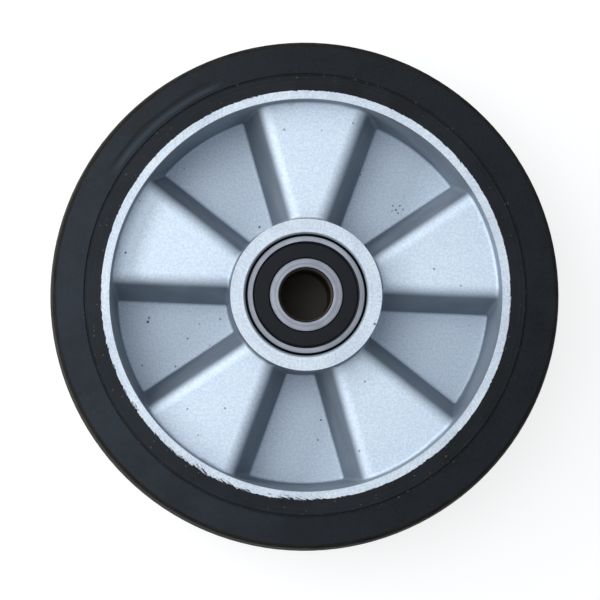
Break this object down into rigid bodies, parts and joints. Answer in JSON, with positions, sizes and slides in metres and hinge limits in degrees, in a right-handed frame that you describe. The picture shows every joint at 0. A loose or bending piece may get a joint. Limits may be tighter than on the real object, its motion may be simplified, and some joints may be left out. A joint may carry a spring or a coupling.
{
  "type": "rubber trolley wheel",
  "caption": "Solid rubber tyre on a cast aluminium wheel centre with a corrugated web, turning on sealed ball bearings at both ends of its hub.",
  "frame": {"origin": "middle of the wheel: on the axle's axis, halfway between its two side faces", "axes": "+Z along the axle, out of the front face; X and Y across the wheel. It lies on its back face"},
  "size_m": [0.1999, 0.2, 0.05],
  "materials": {
    "tyre_rubber": "matt moulded rubber",
    "cast_aluminium": "fine cast skin, with turned rim and hub faces",
    "bearing_steel": "ground steel",
    "ball_steel": "polished steel",
    "cage_steel": "pressed steel sheet",
    "spacer_steel": "plain drawn steel tube",
    "seal_rubber": "smooth black rubber"
  },
  "bodies": {
    "axle_parts": {"spacer_tube": "spacer_steel", "front_inner_ring": "bearing_steel", "back_inner_ring": "bearing_steel"},
    "wheel": {"tyre": "tyre_rubber", "wheel_centre": "cast_aluminium", "front_outer_ring": "bearing_steel", "front_outer_seal": "seal_rubber", "front_inner_seal": "seal_rubber", "back_outer_ring": "bearing_steel", "back_outer_seal": "seal_rubber", "back_inner_seal": "seal_rubber"},
    "front_cage": {"front_cage_outer_half": "cage_steel", "front_cage_inner_half": "cage_steel", "front_cage_rivets": "cage_steel"},
    "front_ball_1": {"front_ball_1": "ball_steel"},
    "front_ball_2": {"front_ball_2": "ball_steel"},
    "front_ball_3": {"front_ball_3": "ball_steel"},
    "front_ball_4": {"front_ball_4": "ball_steel"},
    "front_ball_5": {"front_ball_5": "ball_steel"},
    "front_ball_6": {"front_ball_6": "ball_steel"},
    "front_ball_7": {"front_ball_7": "ball_steel"},
    "front_ball_8": {"front_ball_8": "ball_steel"},
    "back_cage": {"back_cage_outer_half": "cage_steel", "back_cage_inner_half": "cage_steel", "back_cage_rivets": "cage_steel"},
    "back_ball_1": {"back_ball_1": "ball_steel"},
    "back_ball_2": {"back_ball_2": "ball_steel"},
    "back_ball_3": {"back_ball_3": "ball_steel"},
    "back_ball_4": {"back_ball_4": "ball_steel"},
    "back_ball_5": {"back_ball_5": "ball_steel"},
    "back_ball_6": {"back_ball_6": "ball_steel"},
    "back_ball_7": {"back_ball_7": "ball_steel"},
    "back_ball_8": {"back_ball_8": "ball_steel"}
  },
  "joints": [
    {"name": "wheel_spin", "type": "hinge", "parent": "axle_parts", "child": "wheel", "pos_m": [0, 0, 0], "axis": [0, 0, 1], "continuous": true},
    {"name": "front_cage_spin", "type": "hinge", "parent": "axle_parts", "child": "front_cage", "pos_m": [0, 0, 0.017], "axis": [0, 0, 1], "continuous": true},
    {"name": "front_ball_1_roll", "type": "hinge", "parent": "front_cage", "child": "front_ball_1", "pos_m": [0.01675, 0, 0.017], "axis": [0, 0, 1], "continuous": true},
    {"name": "front_ball_2_roll", "type": "hinge", "parent": "front_cage", "child": "front_ball_2", "pos_m": [0.01184, 0.01184, 0.017], "axis": [0, 0, 1], "continuous": true},
    {"name": "front_ball_3_roll", "type": "hinge", "parent": "front_cage", "child": "front_ball_3", "pos_m": [0, 0.01675, 0.017], "axis": [0, 0, 1], "continuous": true},
    {"name": "front_ball_4_roll", "type": "hinge", "parent": "front_cage", "child": "front_ball_4", "pos_m": [-0.01184, 0.01184, 0.017], "axis": [0, 0, 1], "continuous": true},
    {"name": "front_ball_5_roll", "type": "hinge", "parent": "front_cage", "child": "front_ball_5", "pos_m": [-0.01675, 0, 0.017], "axis": [0, 0, 1], "continuous": true},
    {"name": "front_ball_6_roll", "type": "hinge", "parent": "front_cage", "child": "front_ball_6", "pos_m": [-0.01184, -0.01184, 0.017], "axis": [0, 0, 1], "continuous": true},
    {"name": "front_ball_7_roll", "type": "hinge", "parent": "front_cage", "child": "front_ball_7", "pos_m": [0, -0.01675, 0.017], "axis": [0, 0, 1], "continuous": true},
    {"name": "front_ball_8_roll", "type": "hinge", "parent": "front_cage", "child": "front_ball_8", "pos_m": [0.01184, -0.01184, 0.017], "axis": [0, 0, 1], "continuous": true},
    {"name": "back_cage_spin", "type": "hinge", "parent": "axle_parts", "child": "back_cage", "pos_m": [0, 0, -0.017], "axis": [0, 0, 1], "continuous": true},
    {"name": "back_ball_1_roll", "type": "hinge", "parent": "back_cage", "child": "back_ball_1", "pos_m": [0.01675, 0, -0.017], "axis": [0, 0, 1], "continuous": true},
    {"name": "back_ball_2_roll", "type": "hinge", "parent": "back_cage", "child": "back_ball_2", "pos_m": [0.01184, 0.01184, -0.017], "axis": [0, 0, 1], "continuous": true},
    {"name": "back_ball_3_roll", "type": "hinge", "parent": "back_cage", "child": "back_ball_3", "pos_m": [0, 0.01675, -0.017], "axis": [0, 0, 1], "continuous": true},
    {"name": "back_ball_4_roll", "type": "hinge", "parent": "back_cage", "child": "back_ball_4", "pos_m": [-0.01184, 0.01184, -0.017], "axis": [0, 0, 1], "continuous": true},
    {"name": "back_ball_5_roll", "type": "hinge", "parent": "back_cage", "child": "back_ball_5", "pos_m": [-0.01675, 0, -0.017], "axis": [0, 0, 1], "continuous": true},
    {"name": "back_ball_6_roll", "type": "hinge", "parent": "back_cage", "child": "back_ball_6", "pos_m": [-0.01184, -0.01184, -0.017], "axis": [0, 0, 1], "continuous": true},
    {"name": "back_ball_7_roll", "type": "hinge", "parent": "back_cage", "child": "back_ball_7", "pos_m": [0, -0.01675, -0.017], "axis": [0, 0, 1], "continuous": true},
    {"name": "back_ball_8_roll", "type": "hinge", "parent": "back_cage", "child": "back_ball_8", "pos_m": [0.01184, -0.01184, -0.017], "axis": [0, 0, 1], "continuous": true}
  ],
  "couplings": [
    {"joint": "front_cage_spin", "follows": "wheel_spin", "ratio": 0.61848},
    {"joint": "front_ball_1_roll", "follows": "wheel_spin", "ratio": 1.9916},
    {"joint": "front_ball_2_roll", "follows": "wheel_spin", "ratio": 1.9916},
    {"joint": "front_ball_3_roll", "follows": "wheel_spin", "ratio": 1.9916},
    {"joint": "front_ball_4_roll", "follows": "wheel_spin", "ratio": 1.9916},
    {"joint": "front_ball_5_roll", "follows": "wheel_spin", "ratio": 1.9916},
    {"joint": "front_ball_6_roll", "follows": "wheel_spin", "ratio": 1.9916},
    {"joint": "front_ball_7_roll", "follows": "wheel_spin", "ratio": 1.9916},
    {"joint": "front_ball_8_roll", "follows": "wheel_spin", "ratio": 1.9916},
    {"joint": "back_cage_spin", "follows": "wheel_spin", "ratio": 0.61848},
    {"joint": "back_ball_1_roll", "follows": "wheel_spin", "ratio": 1.9916},
    {"joint": "back_ball_2_roll", "follows": "wheel_spin", "ratio": 1.9916},
    {"joint": "back_ball_3_roll", "follows": "wheel_spin", "ratio": 1.9916},
    {"joint": "back_ball_4_roll", "follows": "wheel_spin", "ratio": 1.9916},
    {"joint": "back_ball_5_roll", "follows": "wheel_spin", "ratio": 1.9916},
    {"joint": "back_ball_6_roll", "follows": "wheel_spin", "ratio": 1.9916},
    {"joint": "back_ball_7_roll", "follows": "wheel_spin", "ratio": 1.9916},
    {"joint": "back_ball_8_roll", "follows": "wheel_spin", "ratio": 1.9916}
  ]
}
